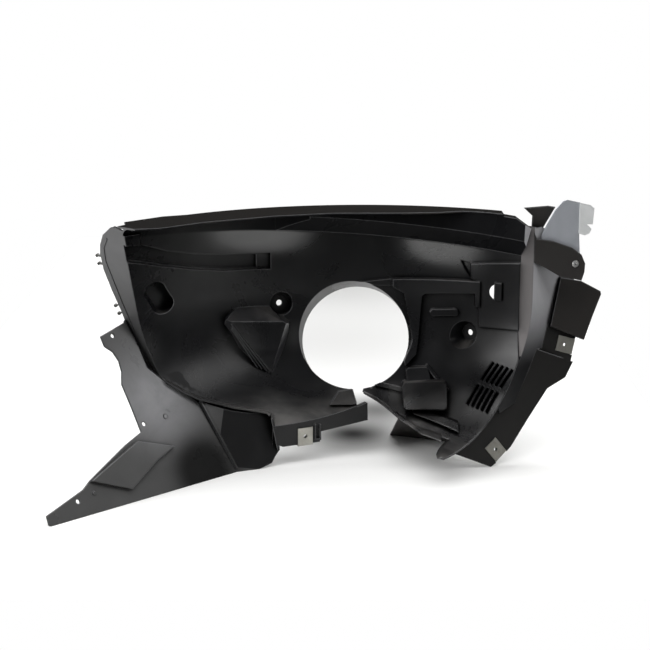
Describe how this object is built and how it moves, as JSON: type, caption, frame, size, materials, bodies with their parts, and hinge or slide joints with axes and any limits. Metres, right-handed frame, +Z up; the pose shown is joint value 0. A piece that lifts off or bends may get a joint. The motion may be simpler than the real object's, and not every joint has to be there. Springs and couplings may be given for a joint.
{
  "type": "wheel_arch_liner",
  "caption": "Black moulded plastic inner liner of a car's front wheel arch, with a strut hole, a louvre, a front wing, clip nuts and a riveted light grey bracket.",
  "frame": {"origin": "the middle of the strut hole's wall, on the hole's axis", "axes": "X runs to the right and along the row, Y points away from the wheel through the liner, Z is up, as the part stands in the picture"},
  "size_m": [0.6999, 0.3644, 0.3406],
  "materials": {
    "liner_plastic": "semi-gloss, moulded black polypropylene",
    "nut_steel": "zinc plated, satin",
    "clip_plastic": "moulded",
    "bracket_paint": "light bluish grey paint",
    "rivet_aluminium": "plain"
  },
  "bodies": {
    "root": {"liner_shell": "liner_plastic", "skirt_nut": "nut_steel", "tab_nut": "nut_steel", "flange_nut": "nut_steel", "upper_clip": "clip_plastic", "lower_clip": "clip_plastic", "wing_bracket": "bracket_paint", "bracket_rivet": "rivet_aluminium"}
  },
  "joints": []
}
